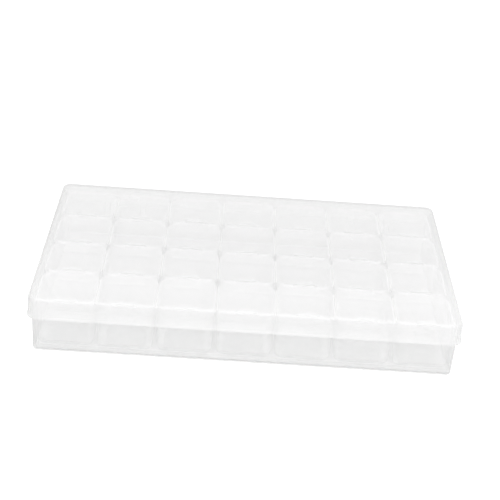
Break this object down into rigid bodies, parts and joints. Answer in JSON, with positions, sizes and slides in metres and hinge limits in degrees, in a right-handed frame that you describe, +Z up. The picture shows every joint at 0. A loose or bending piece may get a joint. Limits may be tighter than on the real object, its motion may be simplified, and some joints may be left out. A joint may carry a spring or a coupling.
{
  "type": "bobbin box",
  "caption": "Low see-through hinged box whose lid covers loose strips of rounded cups, each cup with its own flip lid, for bobbins and small notions.",
  "frame": {"origin": "middle of the case's flat underside, where it stands", "axes": "+X along the long side, +Y towards the hinge at the back, +Z up"},
  "size_m": [0.175, 0.1091, 0.026],
  "materials": {
    "case_plastic": "translucent natural polypropylene, satin",
    "cup_plastic": "translucent natural polypropylene, satin",
    "flip_plastic": "translucent natural polypropylene, satin"
  },
  "bodies": {
    "case": {"case_base": "case_plastic", "cup_strip_1": "cup_plastic", "cup_strip_2": "cup_plastic", "cup_strip_3": "cup_plastic", "cup_strip_4": "cup_plastic", "cup_strip_5": "cup_plastic", "cup_strip_6": "cup_plastic", "cup_strip_7": "cup_plastic"},
    "case_lid": {"case_lid": "case_plastic"},
    "flip_lid_1_1": {"flip_lid_1_1": "flip_plastic"},
    "flip_lid_1_2": {"flip_lid_1_2": "flip_plastic"},
    "flip_lid_1_3": {"flip_lid_1_3": "flip_plastic"},
    "flip_lid_1_4": {"flip_lid_1_4": "flip_plastic"},
    "flip_lid_2_1": {"flip_lid_2_1": "flip_plastic"},
    "flip_lid_2_2": {"flip_lid_2_2": "flip_plastic"},
    "flip_lid_2_3": {"flip_lid_2_3": "flip_plastic"},
    "flip_lid_2_4": {"flip_lid_2_4": "flip_plastic"},
    "flip_lid_3_1": {"flip_lid_3_1": "flip_plastic"},
    "flip_lid_3_2": {"flip_lid_3_2": "flip_plastic"},
    "flip_lid_3_3": {"flip_lid_3_3": "flip_plastic"},
    "flip_lid_3_4": {"flip_lid_3_4": "flip_plastic"},
    "flip_lid_4_1": {"flip_lid_4_1": "flip_plastic"},
    "flip_lid_4_2": {"flip_lid_4_2": "flip_plastic"},
    "flip_lid_4_3": {"flip_lid_4_3": "flip_plastic"},
    "flip_lid_4_4": {"flip_lid_4_4": "flip_plastic"},
    "flip_lid_5_1": {"flip_lid_5_1": "flip_plastic"},
    "flip_lid_5_2": {"flip_lid_5_2": "flip_plastic"},
    "flip_lid_5_3": {"flip_lid_5_3": "flip_plastic"},
    "flip_lid_5_4": {"flip_lid_5_4": "flip_plastic"},
    "flip_lid_6_1": {"flip_lid_6_1": "flip_plastic"},
    "flip_lid_6_2": {"flip_lid_6_2": "flip_plastic"},
    "flip_lid_6_3": {"flip_lid_6_3": "flip_plastic"},
    "flip_lid_6_4": {"flip_lid_6_4": "flip_plastic"},
    "flip_lid_7_1": {"flip_lid_7_1": "flip_plastic"},
    "flip_lid_7_2": {"flip_lid_7_2": "flip_plastic"},
    "flip_lid_7_3": {"flip_lid_7_3": "flip_plastic"},
    "flip_lid_7_4": {"flip_lid_7_4": "flip_plastic"}
  },
  "joints": [
    {"name": "case_lid_hinge", "type": "hinge", "parent": "case", "child": "case_lid", "pos_m": [0, 0.0547, 0.0158], "axis": [-1, 0, 0], "range_deg": [0, 180]},
    {"name": "flip_lid_1_1_hinge", "type": "hinge", "parent": "case", "child": "flip_lid_1_1", "pos_m": [-0.0726, 0.04745, 0.0235], "axis": [-1, 0, 0], "range_deg": [0, 110]},
    {"name": "flip_lid_1_2_hinge", "type": "hinge", "parent": "case", "child": "flip_lid_1_2", "pos_m": [-0.0726, 0.02285, 0.0235], "axis": [-1, 0, 0], "range_deg": [0, 110]},
    {"name": "flip_lid_1_3_hinge", "type": "hinge", "parent": "case", "child": "flip_lid_1_3", "pos_m": [-0.0726, -0.00175, 0.0235], "axis": [-1, 0, 0], "range_deg": [0, 110]},
    {"name": "flip_lid_1_4_hinge", "type": "hinge", "parent": "case", "child": "flip_lid_1_4", "pos_m": [-0.0726, -0.02635, 0.0235], "axis": [-1, 0, 0], "range_deg": [0, 110]},
    {"name": "flip_lid_2_1_hinge", "type": "hinge", "parent": "case", "child": "flip_lid_2_1", "pos_m": [-0.0484, 0.04745, 0.0235], "axis": [-1, 0, 0], "range_deg": [0, 110]},
    {"name": "flip_lid_2_2_hinge", "type": "hinge", "parent": "case", "child": "flip_lid_2_2", "pos_m": [-0.0484, 0.02285, 0.0235], "axis": [-1, 0, 0], "range_deg": [0, 110]},
    {"name": "flip_lid_2_3_hinge", "type": "hinge", "parent": "case", "child": "flip_lid_2_3", "pos_m": [-0.0484, -0.00175, 0.0235], "axis": [-1, 0, 0], "range_deg": [0, 110]},
    {"name": "flip_lid_2_4_hinge", "type": "hinge", "parent": "case", "child": "flip_lid_2_4", "pos_m": [-0.0484, -0.02635, 0.0235], "axis": [-1, 0, 0], "range_deg": [0, 110]},
    {"name": "flip_lid_3_1_hinge", "type": "hinge", "parent": "case", "child": "flip_lid_3_1", "pos_m": [-0.0242, 0.04745, 0.0235], "axis": [-1, 0, 0], "range_deg": [0, 110]},
    {"name": "flip_lid_3_2_hinge", "type": "hinge", "parent": "case", "child": "flip_lid_3_2", "pos_m": [-0.0242, 0.02285, 0.0235], "axis": [-1, 0, 0], "range_deg": [0, 110]},
    {"name": "flip_lid_3_3_hinge", "type": "hinge", "parent": "case", "child": "flip_lid_3_3", "pos_m": [-0.0242, -0.00175, 0.0235], "axis": [-1, 0, 0], "range_deg": [0, 110]},
    {"name": "flip_lid_3_4_hinge", "type": "hinge", "parent": "case", "child": "flip_lid_3_4", "pos_m": [-0.0242, -0.02635, 0.0235], "axis": [-1, 0, 0], "range_deg": [0, 110]},
    {"name": "flip_lid_4_1_hinge", "type": "hinge", "parent": "case", "child": "flip_lid_4_1", "pos_m": [0, 0.04745, 0.0235], "axis": [-1, 0, 0], "range_deg": [0, 110]},
    {"name": "flip_lid_4_2_hinge", "type": "hinge", "parent": "case", "child": "flip_lid_4_2", "pos_m": [0, 0.02285, 0.0235], "axis": [-1, 0, 0], "range_deg": [0, 110]},
    {"name": "flip_lid_4_3_hinge", "type": "hinge", "parent": "case", "child": "flip_lid_4_3", "pos_m": [0, -0.00175, 0.0235], "axis": [-1, 0, 0], "range_deg": [0, 110]},
    {"name": "flip_lid_4_4_hinge", "type": "hinge", "parent": "case", "child": "flip_lid_4_4", "pos_m": [0, -0.02635, 0.0235], "axis": [-1, 0, 0], "range_deg": [0, 110]},
    {"name": "flip_lid_5_1_hinge", "type": "hinge", "parent": "case", "child": "flip_lid_5_1", "pos_m": [0.0242, 0.04745, 0.0235], "axis": [-1, 0, 0], "range_deg": [0, 110]},
    {"name": "flip_lid_5_2_hinge", "type": "hinge", "parent": "case", "child": "flip_lid_5_2", "pos_m": [0.0242, 0.02285, 0.0235], "axis": [-1, 0, 0], "range_deg": [0, 110]},
    {"name": "flip_lid_5_3_hinge", "type": "hinge", "parent": "case", "child": "flip_lid_5_3", "pos_m": [0.0242, -0.00175, 0.0235], "axis": [-1, 0, 0], "range_deg": [0, 110]},
    {"name": "flip_lid_5_4_hinge", "type": "hinge", "parent": "case", "child": "flip_lid_5_4", "pos_m": [0.0242, -0.02635, 0.0235], "axis": [-1, 0, 0], "range_deg": [0, 110]},
    {"name": "flip_lid_6_1_hinge", "type": "hinge", "parent": "case", "child": "flip_lid_6_1", "pos_m": [0.0484, 0.04745, 0.0235], "axis": [-1, 0, 0], "range_deg": [0, 110]},
    {"name": "flip_lid_6_2_hinge", "type": "hinge", "parent": "case", "child": "flip_lid_6_2", "pos_m": [0.0484, 0.02285, 0.0235], "axis": [-1, 0, 0], "range_deg": [0, 110]},
    {"name": "flip_lid_6_3_hinge", "type": "hinge", "parent": "case", "child": "flip_lid_6_3", "pos_m": [0.0484, -0.00175, 0.0235], "axis": [-1, 0, 0], "range_deg": [0, 110]},
    {"name": "flip_lid_6_4_hinge", "type": "hinge", "parent": "case", "child": "flip_lid_6_4", "pos_m": [0.0484, -0.02635, 0.0235], "axis": [-1, 0, 0], "range_deg": [0, 110]},
    {"name": "flip_lid_7_1_hinge", "type": "hinge", "parent": "case", "child": "flip_lid_7_1", "pos_m": [0.0726, 0.04745, 0.0235], "axis": [-1, 0, 0], "range_deg": [0, 110]},
    {"name": "flip_lid_7_2_hinge", "type": "hinge", "parent": "case", "child": "flip_lid_7_2", "pos_m": [0.0726, 0.02285, 0.0235], "axis": [-1, 0, 0], "range_deg": [0, 110]},
    {"name": "flip_lid_7_3_hinge", "type": "hinge", "parent": "case", "child": "flip_lid_7_3", "pos_m": [0.0726, -0.00175, 0.0235], "axis": [-1, 0, 0], "range_deg": [0, 110]},
    {"name": "flip_lid_7_4_hinge", "type": "hinge", "parent": "case", "child": "flip_lid_7_4", "pos_m": [0.0726, -0.02635, 0.0235], "axis": [-1, 0, 0], "range_deg": [0, 110]}
  ],
  "couplings": [
    {"joint": "flip_lid_1_1_hinge", "follows": "case_lid_hinge", "ratio": 0.6},
    {"joint": "flip_lid_1_2_hinge", "follows": "case_lid_hinge", "ratio": 0.6},
    {"joint": "flip_lid_1_3_hinge", "follows": "case_lid_hinge", "ratio": 0.6},
    {"joint": "flip_lid_1_4_hinge", "follows": "case_lid_hinge", "ratio": 0.6},
    {"joint": "flip_lid_2_1_hinge", "follows": "case_lid_hinge", "ratio": 0.6},
    {"joint": "flip_lid_2_2_hinge", "follows": "case_lid_hinge", "ratio": 0.6},
    {"joint": "flip_lid_2_3_hinge", "follows": "case_lid_hinge", "ratio": 0.6},
    {"joint": "flip_lid_2_4_hinge", "follows": "case_lid_hinge", "ratio": 0.6},
    {"joint": "flip_lid_3_1_hinge", "follows": "case_lid_hinge", "ratio": 0.6},
    {"joint": "flip_lid_3_2_hinge", "follows": "case_lid_hinge", "ratio": 0.6},
    {"joint": "flip_lid_3_3_hinge", "follows": "case_lid_hinge", "ratio": 0.6},
    {"joint": "flip_lid_3_4_hinge", "follows": "case_lid_hinge", "ratio": 0.6},
    {"joint": "flip_lid_4_1_hinge", "follows": "case_lid_hinge", "ratio": 0.6},
    {"joint": "flip_lid_4_2_hinge", "follows": "case_lid_hinge", "ratio": 0.6},
    {"joint": "flip_lid_4_3_hinge", "follows": "case_lid_hinge", "ratio": 0.6},
    {"joint": "flip_lid_4_4_hinge", "follows": "case_lid_hinge", "ratio": 0.6},
    {"joint": "flip_lid_5_1_hinge", "follows": "case_lid_hinge", "ratio": 0.6},
    {"joint": "flip_lid_5_2_hinge", "follows": "case_lid_hinge", "ratio": 0.6},
    {"joint": "flip_lid_5_3_hinge", "follows": "case_lid_hinge", "ratio": 0.6},
    {"joint": "flip_lid_5_4_hinge", "follows": "case_lid_hinge", "ratio": 0.6},
    {"joint": "flip_lid_6_1_hinge", "follows": "case_lid_hinge", "ratio": 0.6},
    {"joint": "flip_lid_6_2_hinge", "follows": "case_lid_hinge", "ratio": 0.6},
    {"joint": "flip_lid_6_3_hinge", "follows": "case_lid_hinge", "ratio": 0.6},
    {"joint": "flip_lid_6_4_hinge", "follows": "case_lid_hinge", "ratio": 0.6},
    {"joint": "flip_lid_7_1_hinge", "follows": "case_lid_hinge", "ratio": 0.6},
    {"joint": "flip_lid_7_2_hinge", "follows": "case_lid_hinge", "ratio": 0.6},
    {"joint": "flip_lid_7_3_hinge", "follows": "case_lid_hinge", "ratio": 0.6},
    {"joint": "flip_lid_7_4_hinge", "follows": "case_lid_hinge", "ratio": 0.6}
  ]
}
